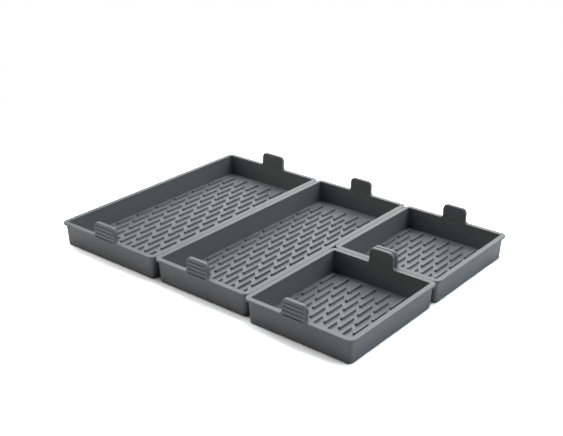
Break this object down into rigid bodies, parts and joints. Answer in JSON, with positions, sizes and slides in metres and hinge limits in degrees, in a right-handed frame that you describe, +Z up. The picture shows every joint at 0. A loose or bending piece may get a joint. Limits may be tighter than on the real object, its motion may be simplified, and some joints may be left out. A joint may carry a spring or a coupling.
{
  "type": "silicone sheet-pan divider trays",
  "caption": "Set of low open silicone trays with ribbed floors, overhanging rims and flexible end grip tabs, which divide a half-sheet baking pan into compartments.",
  "frame": {"origin": "on the surface that the trays stand on, under the middle of the set", "axes": "+X across the set from the wide long tray to the small trays, +Y from front to back along the long trays, +Z up"},
  "size_m": [0.4208, 0.3036, 0.046],
  "materials": {
    "silicone": "satin dark slate-grey moulded silicone, lightly frosted"
  },
  "bodies": {
    "wide_long_tray": {"wide_long_tray": "silicone"},
    "long_tray": {"long_tray": "silicone"},
    "small_front_tray": {"small_front_tray": "silicone"},
    "small_back_tray": {"small_back_tray": "silicone"},
    "wide_long_tray_front_tab": {"wide_long_tray_front_tab": "silicone"},
    "wide_long_tray_back_tab": {"wide_long_tray_back_tab": "silicone"},
    "long_tray_front_tab": {"long_tray_front_tab": "silicone"},
    "long_tray_back_tab": {"long_tray_back_tab": "silicone"},
    "small_front_tray_front_tab": {"small_front_tray_front_tab": "silicone"},
    "small_front_tray_back_tab": {"small_front_tray_back_tab": "silicone"},
    "small_back_tray_front_tab": {"small_back_tray_front_tab": "silicone"},
    "small_back_tray_back_tab": {"small_back_tray_back_tab": "silicone"}
  },
  "joints": [
    {"name": "long_tray_lift", "type": "slide", "parent": "wide_long_tray", "child": "long_tray", "axis": [0, 0, 1], "range_m": [0, 0.08]},
    {"name": "small_front_tray_lift", "type": "slide", "parent": "wide_long_tray", "child": "small_front_tray", "axis": [0, 0, 1], "range_m": [0, 0.08]},
    {"name": "small_back_tray_lift", "type": "slide", "parent": "wide_long_tray", "child": "small_back_tray", "axis": [0, 0, 1], "range_m": [0, 0.08]},
    {"name": "wide_long_tray_front_tab_flex", "type": "hinge", "parent": "wide_long_tray", "child": "wide_long_tray_front_tab", "pos_m": [-0.1337, -0.14475, 0.0286], "axis": [-1, 0, 0], "range_deg": [-20, 20], "stiffness_Nm_per_rad": 0.05},
    {"name": "wide_long_tray_back_tab_flex", "type": "hinge", "parent": "wide_long_tray", "child": "wide_long_tray_back_tab", "pos_m": [-0.1321, 0.14705, 0.0286], "axis": [1, 0, 0], "range_deg": [-20, 20], "stiffness_Nm_per_rad": 0.05},
    {"name": "long_tray_front_tab_flex", "type": "hinge", "parent": "long_tray", "child": "long_tray_front_tab", "pos_m": [0.0072, -0.14335, 0.0286], "axis": [-1, 0, 0], "range_deg": [-20, 20], "stiffness_Nm_per_rad": 0.05},
    {"name": "long_tray_back_tab_flex", "type": "hinge", "parent": "long_tray", "child": "long_tray_back_tab", "pos_m": [0.0094, 0.14845, 0.0286], "axis": [1, 0, 0], "range_deg": [-20, 20], "stiffness_Nm_per_rad": 0.05},
    {"name": "small_front_tray_front_tab_flex", "type": "hinge", "parent": "small_front_tray", "child": "small_front_tray_front_tab", "pos_m": [0.1404, -0.14885, 0.0286], "axis": [-1, 0, 0], "range_deg": [-20, 20], "stiffness_Nm_per_rad": 0.05},
    {"name": "small_front_tray_back_tab_flex", "type": "hinge", "parent": "small_front_tray", "child": "small_front_tray_back_tab", "pos_m": [0.1426, -0.00305, 0.0286], "axis": [1, 0, 0], "range_deg": [0, 20], "stiffness_Nm_per_rad": 0.05},
    {"name": "small_back_tray_front_tab_flex", "type": "hinge", "parent": "small_back_tray", "child": "small_back_tray_front_tab", "pos_m": [0.1426, 0.00305, 0.0286], "axis": [-1, 0, 0], "range_deg": [0, 20], "stiffness_Nm_per_rad": 0.05},
    {"name": "small_back_tray_back_tab_flex", "type": "hinge", "parent": "small_back_tray", "child": "small_back_tray_back_tab", "pos_m": [0.1426, 0.14885, 0.0286], "axis": [1, 0, 0], "range_deg": [-20, 20], "stiffness_Nm_per_rad": 0.05}
  ]
}
